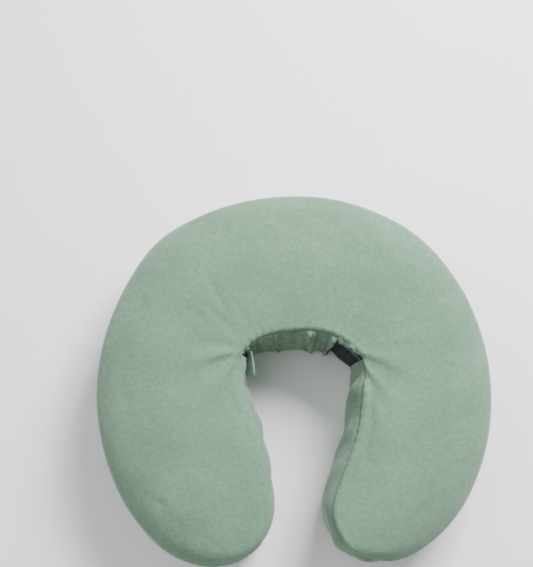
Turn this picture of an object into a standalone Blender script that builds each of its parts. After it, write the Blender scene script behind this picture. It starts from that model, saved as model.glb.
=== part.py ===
"""Face cradle cushion: a crescent of foam in black upholstery, wearing a fitted flannel cover.

+Z points up through the face side, +Y from the open end towards the crown of the crescent. The
origin is the centre of the bounding box's underside. Metres throughout.

Every piece follows one plan outline, the outer surface of the cover. A place on a piece is given
by the station on the outline, the inset from it and the height. Sections change from the outside
of the crescent to its face opening, so most pieces are lofts from station to station.
"""

import math

import bmesh
import bpy
import numpy as np
from mathutils import Vector

MM = 0.001

# Driving dimensions
HEIGHT = 82 * MM  # whole object, cover included
STATIONS = 112  # places round the outline, an even number
BEND_LENGTH = 25 * MM  # stations draw closer where the outline's radius is under this
OUTER_ROUND = 24 * MM  # radius of the top edge on the outside
INNER_ROUND = 10 * MM  # radius of the top edge round the face opening
ROUND_STEPS = 4  # rings round the top edge
TIP_BLEND = 50 * MM  # outline length, each way from a tip, over which the radius changes
GAP = 0.3 * MM  # clearance between neighbours

FLANNEL = 1.4 * MM  # napped flannel with its seam allowance, pressed together
COVER_EASE = 1 * MM  # clearance between cover and cushion
VINYL = 1.2 * MM
OUTER_SEAM = -8 * MM  # cover's top seam on the outside, from the start of the round edge
INNER_SEAM = 10 * MM  # and at the face opening, where it lies up on the round edge
WALL_SHARES = (0, 0.87, 0.935, 1)  # points up a side strip, as shares of its height
PANEL_STEPS = 5  # rings from the seam to the top
VINYL_SEAM_DROP = 6 * MM
HEM_THICK = 2.9 * MM  # two layers of flannel with elastic between them
HEM_LAYER = 0.8 * MM
HEM_FOLD = 15 * MM  # width of the folded casing
SKIRT_TURN_UNDER = 20 * MM  # how far the skirt's hem reaches in under the cushion
ARCH_TURN_UNDER = 17 * MM
ELASTIC_THICK = 0.7 * MM
ELASTIC_WIDTH = 12 * MM
SUPPORT_TOP = 45 * MM  # parting plane between the two foams

RIGHT_GAP = 2  # stations left open between arch band and skirt at the right inner corner
LEFT_GAP = 1  # on each side of the left inner corner

STRIP_WIDTH = 25 * MM
STRIP_LENGTH = 90 * MM
STRIP_CORNER = 3 * MM
ARM_STRIP_AT = (0.088, -0.050)  # centre of the right arm's strip
ARM_STRIP_TURN = math.radians(14)  # follows the middle of the arm
CROWN_STRIP_RADIUS = 100 * MM
CROWN_STRIP_Y = 90 * MM  # middle of the crown strip
CROWN_STRIP_HALF_ANGLE = math.radians(34)
CROWN_STRIP_STEPS = 16

TAB_LENGTH = 21 * MM
TAB_HEIGHT = 14 * MM
TAB_THICK = 1.6 * MM
TAB_CORNER = 3 * MM
TAB_ROOT = Vector((-0.0362, 0.0192, 0.0620))  # on the hinge line, by the arch band's left end
TAB_LEAN = math.radians(18)  # its lower edge stands further into the opening

# One half of the plan outline in mm, from the middle of the crown round the outside, the tip and
# the face opening to the middle of the arch. The other half is its mirror image.
HALF_OUTLINE = (
    (0, 145.5),
    (52, 138.5),
    (98.5, 115),
    (135.5, 69.5),
    (154.3, 14),
    (153.8, -45),
    (134, -98.5),
    (102.5, -133),
    (70, -145.5),
    (36, -135.5),
    (20.3, -108.5),
    (26, -76.5),
    (35.5, -43),
    (42, -13.5),
    (43.5, 11),
    (31.5, 25),
    (15, 30.4),
    (0, 31.2),
)
TIP_POINT = 8  # the lowest point of the tip, in HALF_OUTLINE
CORNER_POINT = 14.5  # where the arch meets the arm, half way between two of them
CURVE_STEPS = 40  # fine points between two of the outline's points


def smooth_curve(points):
    """Fine points on a smooth closed curve through the points, as a centripetal spline."""
    count = len(points)
    spans = [(points[(i + 1) % count] - points[i]).length ** 0.5 for i in range(count)]
    slopes = []
    for i in range(count):
        a, b = spans[i - 1], spans[i]
        before = (points[i] - points[i - 1]) / a
        after = (points[(i + 1) % count] - points[i]) / b
        slopes.append((before * b + after * a) / (a + b))
    fine = []
    for i in range(count):
        j = (i + 1) % count
        for step in range(CURVE_STEPS):
            t = step / CURVE_STEPS
            ease = t * t * (3 - 2 * t)
            start_pull = slopes[i] * spans[i] * (t**3 - 2 * t**2 + t)
            end_pull = slopes[j] * spans[i] * (t**3 - t**2)
            fine.append(points[i].lerp(points[j], ease) + start_pull + end_pull)
    return np.array([p[:] for p in fine])


class Outline:
    """The plan outline's stations: points, outward normals and top edge radii."""

    def __init__(self):
        half = [Vector(p) * MM for p in HALF_OUTLINE]
        mirrored = [Vector((-p.x, p.y)) for p in reversed(half[1:-1])]
        fine = smooth_curve(half + mirrored)
        step = np.roll(fine, -1, axis=0) - fine
        length = np.hypot(*step.T)
        heading = np.arctan2(step[:, 1], step[:, 0])
        turn = np.abs(np.angle(np.exp(1j * (heading - np.roll(heading, 1)))))
        walked = np.concatenate([[0], np.cumsum(length)])
        weight = np.concatenate([[0], np.cumsum(length + turn * BEND_LENGTH)])
        at = np.interp(np.arange(STATIONS) / STATIONS * weight[-1], weight, walked)
        closed = np.vstack([fine, fine[:1]])
        self.points = self.read(at, walked, closed)
        ahead = self.read((at + MM) % walked[-1], walked, closed)
        behind = self.read((at - MM) % walked[-1], walked, closed)
        along = ahead - behind
        normals = np.column_stack([-along[:, 1], along[:, 0]])
        self.normals = normals / np.hypot(*normals.T)[:, None]
        tip = walked[TIP_POINT * CURVE_STEPS]
        past_tip = np.minimum(at, walked[-1] - at) - tip
        share = np.clip(0.5 + past_tip / (2 * TIP_BLEND), 0, 1)
        share = share * share * (3 - 2 * share)
        self.edge_radius = OUTER_ROUND + (INNER_ROUND - OUTER_ROUND) * share
        self.seam = OUTER_SEAM + (INNER_SEAM - OUTER_SEAM) * share
        corner = walked[round(CORNER_POINT * CURVE_STEPS)]
        self.right_corner = int(np.argmin(np.abs(at - corner)))
        self.right_tip = int(np.argmin(np.abs(at - tip)))

    @staticmethod
    def read(at, walked, closed):
        return np.column_stack([np.interp(at, walked, closed[:, k]) for k in (0, 1)])

    def place(self, station, inset, z):
        i = station % STATIONS
        x, y = self.points[i] - self.normals[i] * inset
        return Vector((x, y, z))


def clear_scene():
    for obj in list(bpy.data.objects):
        bpy.data.objects.remove(obj, do_unlink=True)


def material(name, colour, roughness):
    made = bpy.data.materials.new(name)
    made.use_nodes = True
    shader = made.node_tree.nodes["Principled BSDF"]
    shader.inputs["Base Color"].default_value = (*colour, 1)
    shader.inputs["Roughness"].default_value = roughness
    made.diffuse_color = (*colour, 1)
    return made


def empty(name, parent=None, at=(0, 0, 0)):
    made = bpy.data.objects.new(name, None)
    made.empty_display_size = 30 * MM
    made.location = at
    made.parent = parent
    PARTS.objects.link(made)
    return made


def add_object(name, data, parent, finish):
    made = bpy.data.objects.new(name, data)
    made.parent = parent
    made.data.materials.append(finish)
    PARTS.objects.link(made)
    return made


def loft(name, rings, parent, finish):
    """A closed body through rings of points, the first and the last of them filled."""
    shape = bmesh.new()
    made = [[shape.verts.new(p) for p in ring] for ring in rings]
    for lower, upper in zip(made, made[1:]):
        for i in range(len(lower)):
            j = (i + 1) % len(lower)
            shape.faces.new((lower[i], lower[j], upper[j], upper[i]))
    shape.faces.new(reversed(made[0]))
    shape.faces.new(made[-1])
    bmesh.ops.recalc_face_normals(shape, faces=shape.faces)
    mesh = bpy.data.meshes.new(name)
    shape.to_mesh(mesh)
    shape.free()
    mesh.shade_smooth()
    mesh.set_sharp_from_angle(angle=math.radians(35))
    return add_object(name, mesh, parent, finish)


def crescent(name, section, parent, finish):
    """A body over the whole plan. section(station) runs from the lower middle to the upper
    middle as (inset, height) pairs."""
    sections = [section(i) for i in range(STATIONS)]
    rings = [
        [OUTLINE.place(i, *sections[i][level]) for i in range(STATIONS)]
        for level in range(len(sections[0]))
    ]
    return loft(name, rings, parent, finish)


def strip(name, section, first, last, parent, finish):
    """A body along the outline from one station to another. section(station) is a closed
    outline of (inset, height) pairs."""
    rings = [
        [OUTLINE.place(i, inset, z) for inset, z in section(i)]
        for i in range(first, last + 1)
    ]
    return loft(name, rings, parent, finish)


def edge_radius(station):
    return float(OUTLINE.edge_radius[station % STATIONS])


def round_edge(station, depth):
    """The rounded top edge, lowest point first, of a surface this deep under the cover."""
    radius = edge_radius(station)
    points = []
    for step in range(ROUND_STEPS + 1):
        angle = math.pi / 2 * step / ROUND_STEPS
        inset = radius - (radius - depth) * math.cos(angle)
        points.append((inset, HEIGHT - radius + (radius - depth) * math.sin(angle)))
    return points


def vinyl_seam(station):
    return HEIGHT - edge_radius(station) - VINYL_SEAM_DROP


def vinyl_top(depth):
    """Section of the upholstery's top panel, turned down over the edges as far as its seam."""

    def section(station):
        rim = vinyl_seam(station) + GAP / 2
        inside = round_edge(station, depth + VINYL)
        outside = round_edge(station, depth)
        return [*reversed(inside), (depth + VINYL, rim), (depth, rim), *outside]

    return section


def vinyl_wall(depth, bottom):
    """Section of an upholstery side strip, from this height up to the panel's seam."""

    def section(station):
        top = vinyl_seam(station) - GAP / 2
        inside = depth + VINYL
        return [(depth, bottom), (inside, bottom), (inside, top), (depth, top)]

    return section


def on_cover(station, depth, way):
    """A point this deep under the cover's outer surface. way is measured on that surface, up
    from the start of the round edge, and is negative on the wall."""
    radius = edge_radius(station)
    if way <= 0:
        return (depth, HEIGHT - radius + way)
    angle = min(way / radius, math.pi / 2)
    inset = radius - (radius - depth) * math.cos(angle)
    return (inset, HEIGHT - radius + (radius - depth) * math.sin(angle))


def flannel_top(station):
    """Section of the cover's top panel, from the seam up over the round edge to the top."""
    radius = edge_radius(station)
    start = float(OUTLINE.seam[station % STATIONS]) + GAP / 2
    end = radius * math.pi / 2
    ways = [start + (end - start) * i / PANEL_STEPS for i in range(PANEL_STEPS + 1)]
    inside = [on_cover(station, FLANNEL, way) for way in reversed(ways)]
    return inside + [on_cover(station, 0, way) for way in ways]


def flannel_wall(station):
    """Section of the cover's skirt or arch band, from the hem up to the seam."""
    start = HEM_LAYER + GAP - (HEIGHT - edge_radius(station))
    end = float(OUTLINE.seam[station % STATIONS]) - GAP / 2
    ways = [start + (end - start) * share for share in WALL_SHARES]
    outside = [on_cover(station, 0, way) for way in reversed(ways)]
    return outside + [on_cover(station, FLANNEL, way) for way in ways]


def folded_hem(turn_under):
    """Section of a hem turned under the cushion, then folded back over its elastic."""
    end = turn_under
    start = turn_under - HEM_FOLD
    top = HEM_THICK - HEM_LAYER
    section = [
        (0, 0),
        (end, 0),
        (end, HEM_THICK),
        (start, HEM_THICK),
        (start, top),
        (end - HEM_LAYER, top),
        (end - HEM_LAYER, HEM_LAYER),
        (0, HEM_LAYER),
    ]
    return lambda station: section


def hem_elastic(turn_under):
    """Section of the elastic between the hem's two layers."""
    end = turn_under - HEM_LAYER - GAP
    start = end - ELASTIC_WIDTH
    bottom = (HEM_THICK - ELASTIC_THICK) / 2
    top = bottom + ELASTIC_THICK
    section = [(start, bottom), (end, bottom), (end, top), (start, top)]
    return lambda station: section


def build_foam(parent):
    """Firm slab below, soft slab above, with the top edge rounded."""
    inset = FLANNEL + COVER_EASE + VINYL + GAP
    bottom = HEM_THICK + GAP + VINYL + GAP
    crescent(
        "support_foam",
        lambda station: [(inset, bottom), (inset, SUPPORT_TOP - GAP)],
        parent,
        SUPPORT_FOAM,
    )
    crescent(
        "memory_foam",
        lambda station: [(inset, SUPPORT_TOP), *round_edge(station, inset)],
        parent,
        MEMORY_FOAM,
    )


def build_upholstery(parent):
    """Panel over the top, strips round the outer and inner walls, and the underside panel."""
    depth = FLANNEL + COVER_EASE
    under = HEM_THICK + GAP
    wall = vinyl_wall(depth, under + VINYL + GAP)
    right_tip = OUTLINE.right_tip
    left_tip = STATIONS - right_tip
    crescent("face_panel", vinyl_top(depth), parent, BLACK_VINYL)
    strip("outer_boxing", wall, left_tip - STATIONS, right_tip - 1, parent, BLACK_VINYL)
    strip("inner_boxing", wall, right_tip, left_tip - 1, parent, RIBBED_KNIT)
    crescent(
        "base_panel",
        lambda station: [(depth, under), (depth, under + VINYL)],
        parent,
        BASE_CLOTH,
    )


def flat_outline(name, points, thickness, parent, finish):
    """A flat piece of this closed outline, standing on the ground plane."""
    curve = bpy.data.curves.new(name, "CURVE")
    curve.dimensions = "2D"
    curve.fill_mode = "BOTH"
    curve.extrude = thickness / 2
    spline = curve.splines.new("POLY")
    spline.points.add(len(points) - 1)
    for point, (x, y) in zip(spline.points, points):
        point.co = (x, y, 0, 1)
    spline.use_cyclic_u = True
    made = add_object(name, curve, parent, finish)
    made.location.z = thickness / 2
    return made


def build_hook_strips(parent):
    """Sewn hook strips: an arc under the crown and a straight strip under each arm."""
    thickness = HEM_THICK
    inner = CROWN_STRIP_RADIUS - STRIP_WIDTH / 2
    outer = CROWN_STRIP_RADIUS + STRIP_WIDTH / 2
    centre_y = CROWN_STRIP_Y - CROWN_STRIP_RADIUS
    angles = [
        CROWN_STRIP_HALF_ANGLE * (2 * i / CROWN_STRIP_STEPS - 1)
        for i in range(CROWN_STRIP_STEPS + 1)
    ]
    arc = [(inner * math.sin(a), centre_y + inner * math.cos(a)) for a in angles]
    arc += [
        (outer * math.sin(a), centre_y + outer * math.cos(a)) for a in reversed(angles)
    ]
    flat_outline("hook_strip_crown", arc, thickness, parent, HOOK_TAPE)
    x, y, cut = STRIP_WIDTH / 2, STRIP_LENGTH / 2, STRIP_CORNER
    corner = [(x, y - cut), (x - cut, y)]
    upper = corner + [(-a, b) for a, b in reversed(corner)]
    oblong = upper + [(-a, -b) for a, b in upper]
    for side, name in ((1, "hook_strip_right"), (-1, "hook_strip_left")):
        made = flat_outline(name, oblong, thickness, parent, HOOK_TAPE)
        made.location.xy = (side * ARM_STRIP_AT[0], ARM_STRIP_AT[1])
        made.rotation_euler.z = -side * ARM_STRIP_TURN


def build_cover(parent):
    """Top panel, side strip and arch band, each strip with a hem folded round its elastic."""
    right = OUTLINE.right_corner
    left = STATIONS - right
    skirt = (left + LEFT_GAP - STATIONS, right - RIGHT_GAP)
    arch = (right, left - LEFT_GAP)
    crescent("cover_top_panel", flannel_top, parent, SAGE_FLANNEL)
    strip("cover_skirt", flannel_wall, *skirt, parent, SAGE_FLANNEL)
    strip("hem_casing", folded_hem(SKIRT_TURN_UNDER), *skirt, parent, SAGE_FLANNEL)
    strip("hem_elastic", hem_elastic(SKIRT_TURN_UNDER), *skirt, parent, ELASTIC)
    strip("cover_arch_band", flannel_wall, *arch, parent, SAGE_FLANNEL)
    strip("arch_hem", folded_hem(ARCH_TURN_UNDER), *arch, parent, SAGE_FLANNEL)
    strip("arch_elastic", hem_elastic(ARCH_TURN_UNDER), *arch, parent, ELASTIC)


def build_band_tab(parent):
    """Loose end of the arch band. It hangs from its root and swings about an upright line."""
    shape = bmesh.new()
    bmesh.ops.create_cube(shape, size=1)
    bmesh.ops.scale(shape, vec=(TAB_THICK, TAB_LENGTH, TAB_HEIGHT), verts=shape.verts)
    bmesh.ops.translate(shape, vec=(0, -TAB_LENGTH / 2, 0), verts=shape.verts)
    free_edges = [
        e for e in shape.edges if all(v.co.y < -TAB_LENGTH / 2 for v in e.verts)
    ]
    across = [e for e in free_edges if abs(e.verts[0].co.x - e.verts[1].co.x) > MM]
    bmesh.ops.bevel(shape, geom=across, offset=TAB_CORNER, segments=3, affect="EDGES")
    lean = (
        Vector((math.cos(TAB_LEAN), 0, math.sin(TAB_LEAN))),
        Vector((-math.sin(TAB_LEAN), 0, math.cos(TAB_LEAN))),
    )
    for vert in shape.verts:
        x, y, z = vert.co
        vert.co = lean[0] * x + Vector((0, y, 0)) + lean[1] * z
    mesh = bpy.data.meshes.new("band_tab")
    shape.to_mesh(mesh)
    shape.free()
    return add_object("band_tab", mesh, parent, SAGE_FLANNEL)


clear_scene()
PARTS = bpy.data.collections.new("face_cradle_cushion")
bpy.context.scene.collection.children.link(PARTS)
OUTLINE = Outline()

SAGE_FLANNEL = material("sage_flannel", (0.33, 0.45, 0.37), 0.95)
BLACK_VINYL = material("black_vinyl", (0.012, 0.012, 0.013), 0.45)
RIBBED_KNIT = material("black_ribbed_knit", (0.015, 0.015, 0.016), 0.9)
BASE_CLOTH = material("black_loop_cloth", (0.02, 0.02, 0.021), 0.95)
HOOK_TAPE = material("black_hook_tape", (0.01, 0.01, 0.01), 0.6)
ELASTIC = material("white_elastic", (0.75, 0.75, 0.72), 0.8)
SUPPORT_FOAM = material("support_foam", (0.70, 0.70, 0.66), 0.95)
MEMORY_FOAM = material("memory_foam", (0.85, 0.78, 0.55), 0.95)

cushion = empty("cushion")
cover = empty("cover", cushion)
band_end = empty("band_end", cover, TAB_ROOT)

build_foam(cushion)
build_upholstery(cushion)
build_hook_strips(cushion)
build_cover(cover)
build_band_tab(band_end)
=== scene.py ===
"""Face cradle cushion: two foams in black upholstery, wearing a fitted sage flannel cover.

The sections follow the order in which the real one is put together: the foams, the upholstery,
the hook tape, and then the cover from its top panel down to the loose end of its band. +Z is up
through the face side and +Y points from the open end to the crown. Metres throughout.
"""

import math

import bmesh
import bpy
import numpy as np
from mathutils import Matrix, Vector, noise


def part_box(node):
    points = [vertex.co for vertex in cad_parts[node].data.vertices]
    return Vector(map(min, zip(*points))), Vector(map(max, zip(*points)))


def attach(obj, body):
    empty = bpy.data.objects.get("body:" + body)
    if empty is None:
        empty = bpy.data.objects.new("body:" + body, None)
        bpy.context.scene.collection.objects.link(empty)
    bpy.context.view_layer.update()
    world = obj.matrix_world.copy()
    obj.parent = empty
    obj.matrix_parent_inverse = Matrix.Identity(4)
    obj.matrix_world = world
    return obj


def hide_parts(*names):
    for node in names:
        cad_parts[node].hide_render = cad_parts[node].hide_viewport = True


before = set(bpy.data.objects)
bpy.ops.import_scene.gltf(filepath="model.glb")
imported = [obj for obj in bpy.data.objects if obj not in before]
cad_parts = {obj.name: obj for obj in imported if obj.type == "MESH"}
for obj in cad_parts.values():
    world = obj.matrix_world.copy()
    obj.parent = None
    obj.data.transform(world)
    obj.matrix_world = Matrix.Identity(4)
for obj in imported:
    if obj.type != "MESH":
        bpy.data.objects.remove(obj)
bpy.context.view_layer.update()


# ---- Support foam ------------------------------------------------------------------------------
# The lower slab is firm polyurethane foam, cut with a hot wire, so its walls are upright and its
# open cells show as a fine even pitting. Everything else follows its crescent plan.

MM = 0.001
HALF_PLAN = (
    (0, 145.5),
    (52, 138.5),
    (98.5, 115),
    (135.5, 69.5),
    (154.3, 14),
    (153.8, -45),
    (134, -98.5),
    (102.5, -133),
    (70, -145.5),
    (36, -135.5),
    (20.3, -108.5),
    (26, -76.5),
    (35.5, -43),
    (42, -13.5),
    (43.5, 11),
    (31.5, 25),
    (15, 30.4),
    (0, 31.2),
)  # mm, from the crown round one tip to the middle of the arch, at the cover's outside
TIP = 8  # the lowest point of the tip, in HALF_PLAN
UNEVEN = (
    ((-109, 108), 2.4, 30),
    ((74, 128), -1.2, 30),
    ((-104, -131), 1.6, 22),
    ((38, -135), 3.2, 17),
    ((-17, -108), -1.8, 14),
    ((48, 3), -3.6, 11),
    ((-38, -8), -2.2, 10),
)  # where hand-fitting left it fuller or flatter: a place, and how far and how wide, in mm
PLAN_STEPS = 40  # fine points between two of the plan's points
QUARTER = 140  # stations from crown to tip, and from tip to arch
STATIONS = 4 * QUARTER
ACROSS = 36  # steps from the outer edge to the inner one over the top
TIP_BLEND = 50 * MM  # length each way from a tip over which outside turns into face opening
OPENING_SLIP = 7.7 * MM  # the cover sits round to one side, most at SLIP_Y
SLIP_Y = -43 * MM
SLIP_REACH = 48 * MM
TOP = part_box("cover_top_panel")[1].z
OUTER_ROUND = 24 * MM  # radius of the top edge on the outside
INNER_ROUND = 10 * MM  # and round the face opening
FOOT = 7 * MM  # radius where a wall turns under
FOAM_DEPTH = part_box("cover_skirt")[1].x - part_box("support_foam")[1].x
CROWN = 3.2 * MM  # how far the top swells above its edges
SOFT_FROM = TOP - 12 * MM  # above this height the shape has no creases
FACE_GAP = 0.5 * MM  # between the foam's face and the vinyl


def smooth_loop(points):
    """Fine points on a smooth closed curve through the points, a centripetal spline."""
    here = np.array(points, float)
    after = np.roll(here, -1, axis=0)
    span = np.linalg.norm(after - here, axis=1)[:, None] ** 0.5
    before = np.roll(span, 1, axis=0)
    slope_in = (here - np.roll(here, 1, axis=0)) / before
    slope = (slope_in * span + (after - here) / span * before) / (before + span)
    fine = []
    for t in np.arange(PLAN_STEPS) / PLAN_STEPS:
        ease = t * t * (3 - 2 * t)
        start_pull = slope * span * (t**3 - 2 * t**2 + t)
        end_pull = np.roll(slope, -1, axis=0) * span * (t**3 - t**2)
        fine.append(here * (1 - ease) + after * ease + start_pull + end_pull)
    return np.stack(fine, axis=1).reshape(-1, 2)


def ease(share):
    share = np.clip(share, 0, 1)
    return share * share * (3 - 2 * share)


class Plan:
    """The plan at each station: point, outward normal, distance walked, share of face opening,
    and the top edge's radius. Station 0 is the crown, and the right tip comes first."""

    def __init__(self):
        half = [np.array(point) * MM for point in HALF_PLAN]
        mirrored = [point * (-1, 1) for point in reversed(half[1:-1])]
        fine = smooth_loop(half + mirrored)
        walked, tip = self.walk(fine)
        inner = self.inner_share(walked, tip)
        slip = np.exp(-(((fine[:, 1] - SLIP_Y) / SLIP_REACH) ** 2))
        fine[:, 0] += OPENING_SLIP * slip * inner[:-1]
        along = np.roll(fine, -1, axis=0) - np.roll(fine, 1, axis=0)
        along /= np.linalg.norm(along, axis=1)[:, None]
        for (x, y), out, reach in UNEVEN:
            near = np.linalg.norm(fine / MM - (x, y), axis=1) / reach
            push = out * MM * np.exp(-(near**2))
            fine += np.column_stack([-along[:, 1], along[:, 0]]) * push[:, None]
        walked, tip = self.walk(fine)
        self.length = walked[-1]
        out = np.arange(QUARTER + 1) / QUARTER
        back = out[::-1][1:]
        arch = self.length / 2
        right = np.concatenate(
            [out * tip, arch - (arch - tip) * (0.4 * back + 0.6 * back**3)]
        )
        self.walked = np.concatenate([right, self.length - right[-2:0:-1]])
        closed = np.vstack([fine, fine[:1]])
        self.point = self.read(closed, walked, self.walked)
        ahead = self.read(closed, walked, (self.walked + MM) % self.length)
        behind = self.read(closed, walked, (self.walked - MM) % self.length)
        along = ahead - behind
        along /= np.linalg.norm(along, axis=1)[:, None]
        self.normal = np.column_stack([-along[:, 1], along[:, 0]])
        self.inner = self.inner_share(self.walked, tip)
        self.radius = OUTER_ROUND + (INNER_ROUND - OUTER_ROUND) * self.inner

    @staticmethod
    def walk(fine):
        step = np.linalg.norm(np.roll(fine, -1, axis=0) - fine, axis=1)
        walked = np.concatenate([[0], np.cumsum(step)])
        return walked, walked[TIP * PLAN_STEPS]

    @staticmethod
    def inner_share(walked, tip):
        past = np.minimum(walked, walked.max() - walked) - tip
        return ease(0.5 + past / (2 * TIP_BLEND))

    @staticmethod
    def read(closed, walked, at):
        return np.column_stack([np.interp(at, walked, closed[:, k]) for k in (0, 1)])


PLAN = Plan()
ALL_ROUND = np.arange(STATIONS)


def at_station(values, stations):
    """One of the plan's lists read at stations, which may lie between two of them."""
    low = np.floor(stations).astype(int)
    share = np.asarray(stations - low)
    share = share.reshape(share.shape + (1,) * (values.ndim - 1))
    return values[low % STATIONS] * (1 - share) + values[(low + 1) % STATIONS] * share


def wall_height(stations, depth, bottom):
    """Upright part of a side, between the round top edge and the foot."""
    return TOP - at_station(PLAN.radius, stations) - bottom - (FOOT - depth)


def skin(stations, way, depth, bottom=0.0):
    """Points on a surface this deep under the cover's outside, and the directions out of it.
    way runs along the surface from the start of the round top edge: up over it and then in
    across the top where positive, down the side and then in underneath where negative."""
    radius = at_station(PLAN.radius, stations)
    wall = wall_height(stations, depth, bottom)
    turn = FOOT - depth
    over = np.clip(way / radius, 0, math.pi / 2)
    foot = np.clip((-way - wall) / turn, 0, math.pi / 2)
    inset = depth + (radius - depth) * (1 - np.cos(over)) + turn * (1 - np.cos(foot))
    inset = inset + np.maximum(way - radius * math.pi / 2, 0)
    inset = inset + np.maximum(-way - wall - turn * math.pi / 2, 0)
    height = TOP - radius + (radius - depth) * np.sin(over)
    height = height + np.clip(way, -wall, 0) - turn * np.sin(foot)
    point = at_station(PLAN.point, stations)
    outward = at_station(PLAN.normal, stations)
    level = np.cos(over) * np.cos(foot)
    tilt = np.broadcast_to((np.sin(over) - np.sin(foot))[..., None], inset.shape + (1,))
    places = np.concatenate([point - outward * inset[..., None], height[..., None]], -1)
    return places, np.concatenate([outward * level[..., None], tilt], -1)


def between(*stops):
    """Rows from stop to stop, each a list of ways round the plan: (ways, steps), ways, ..."""
    rows = []
    for (start, steps), (end, _) in zip(stops, stops[1:]):
        rows += [start + (end - start) * i / steps for i in range(steps)]
    return np.array([*rows, stops[-1][0]])


def fill(ring, swell=0.0):
    """The inside of a ring of points as rungs across the crescent, without the ring itself. At
    a tip the rungs curve until the last of them is the ring's own end."""
    last = QUARTER - ACROSS // 2
    rungs = np.arange(-last + 1, last)
    share = np.arange(1, ACROSS) / ACROSS
    start = ring[rungs % STATIONS][:, None]
    end = ring[(2 * QUARTER - rungs) % STATIONS][:, None]
    inside = start + (end - start) * share[None, :, None]
    for side in (1, -1):
        first, far = side * last, (2 * QUARTER - side * last) % STATIONS
        walk = side * (last + np.arange(1, ACROSS))
        bow = ring[walk % STATIONS] - (
            ring[first] + (ring[far] - ring[first]) * share[:, None]
        )
        near = ease(1 - (last - side * rungs) / (0.45 * QUARTER))
        inside += bow[None] * near[:, None, None]
    tip = ease((last - np.abs(rungs)) / (0.22 * QUARTER))
    inside[:, :, 2] += swell * np.sin(math.pi * share)[None, :] ** 1.5 * tip[:, None]
    return inside


def crescent_faces(rings, cap_low=False, cap_high=True):
    """Quads over rings of stations, lowest first, and over the fills that close them."""
    station = np.arange(STATIONS)
    following = (station + 1) % STATIONS
    faces = []
    for row in range(rings - 1):
        low, high = row * STATIONS, (row + 1) * STATIONS
        faces += np.column_stack(
            [low + station, high + station, high + following, low + following]
        ).tolist()
    last = QUARTER - ACROSS // 2
    count = 2 * last - 1
    start = rings * STATIONS
    for use, ring, flip in ((cap_low, 0, True), (cap_high, rings - 1, False)):
        if not use:
            continue
        grid = np.empty((2 * last + 1, ACROSS + 1), int)
        rungs = np.arange(-last, last + 1)
        grid[:, 0] = ring * STATIONS + rungs % STATIONS
        grid[:, -1] = ring * STATIONS + (2 * QUARTER - rungs) % STATIONS
        inside = start + np.arange(count * (ACROSS - 1))
        grid[1:-1, 1:-1] = inside.reshape(count, ACROSS - 1)
        walk = np.arange(ACROSS + 1)
        grid[-1] = ring * STATIONS + (last + walk) % STATIONS
        grid[0] = ring * STATIONS + (-last - walk) % STATIONS
        start += count * (ACROSS - 1)
        quads = np.stack([grid[:-1, :-1], grid[:-1, 1:], grid[1:, 1:], grid[1:, :-1]], -1)
        quads = quads.reshape(-1, 4)
        faces += (quads[:, ::-1] if flip else quads).tolist()
    return faces


def new_piece(name, points, faces, finish):
    mesh = bpy.data.meshes.new(name)
    mesh.from_pydata(np.asarray(points).reshape(-1, 3).tolist(), [], faces)
    mesh.shade_smooth()
    mesh.materials.append(finish)
    made = bpy.data.objects.new(name, mesh)
    bpy.context.scene.collection.objects.link(made)
    return made


def apply_modifier(piece, kind, **settings):
    modifier = piece.modifiers.new(kind.lower(), kind)
    for setting, value in settings.items():
        setattr(modifier, setting, value)
    bpy.ops.object.select_all(action="DESELECT")
    piece.select_set(True)
    bpy.context.view_layer.objects.active = piece
    bpy.ops.object.modifier_apply(modifier=modifier.name)


def linear(colour):
    """A linear colour from an sRGB hex value."""
    parts = [int(colour[i : i + 2], 16) / 255 for i in (1, 3, 5)]
    return (*[p / 12.92 if p <= 0.04045 else ((p + 0.055) / 1.055) ** 2.4 for p in parts], 1)


def add_node(tree, kind, inputs=None, **settings):
    """A node with its settings. An input takes a value, or an output socket to link from."""
    made = tree.nodes.new(kind)
    for setting, value in settings.items():
        setattr(made, setting, value)
    for key, value in (inputs or {}).items():
        if isinstance(value, bpy.types.NodeSocket):
            tree.links.new(value, made.inputs[key])
        else:
            made.inputs[key].default_value = value
    return made


def new_material(name, roughness, **constants):
    """A material, its node tree, its shader and the object's own coordinates."""
    made = bpy.data.materials.new(name)
    made.use_nodes = True
    tree = made.node_tree
    shader = tree.nodes["Principled BSDF"]
    shader.inputs["Roughness"].default_value = roughness
    for socket, value in constants.items():
        shader.inputs[socket.replace("_", " ")].default_value = value
    return made, tree, shader, add_node(tree, "ShaderNodeTexCoord")


def paint(tree, shader, factor, *colours):
    """Colour the shader by this factor, through a ramp spread evenly over these hex colours."""
    ramp = add_node(tree, "ShaderNodeValToRGB", {"Fac": factor})
    stops = ramp.color_ramp.elements
    for i, colour in enumerate(colours):
        place = i / (len(colours) - 1)
        stop = stops[i] if i < 2 else stops.new(place)
        stop.position = place
        stop.color = linear(colour)
    tree.links.new(ramp.outputs["Color"], shader.inputs["Base Color"])


def emboss(tree, shader, height, strength, depth):
    """Give the shader the relief of this height, this deep."""
    bump = add_node(
        tree, "ShaderNodeBump", {"Height": height, "Strength": strength, "Distance": depth}
    )
    tree.links.new(bump.outputs["Normal"], shader.inputs["Normal"])


def mottle(tree, place, scale, **settings):
    """Soft noise over the object, with this many spots a metre."""
    inputs = {"Vector": place.outputs["Object"], "Scale": scale, **settings}
    return add_node(tree, "ShaderNodeTexNoise", inputs).outputs["Fac"]


def product(tree, first, second):
    """Two values multiplied."""
    return add_node(
        tree, "ShaderNodeMath", {0: first, 1: second}, operation="MULTIPLY"
    ).outputs[0]


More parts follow.
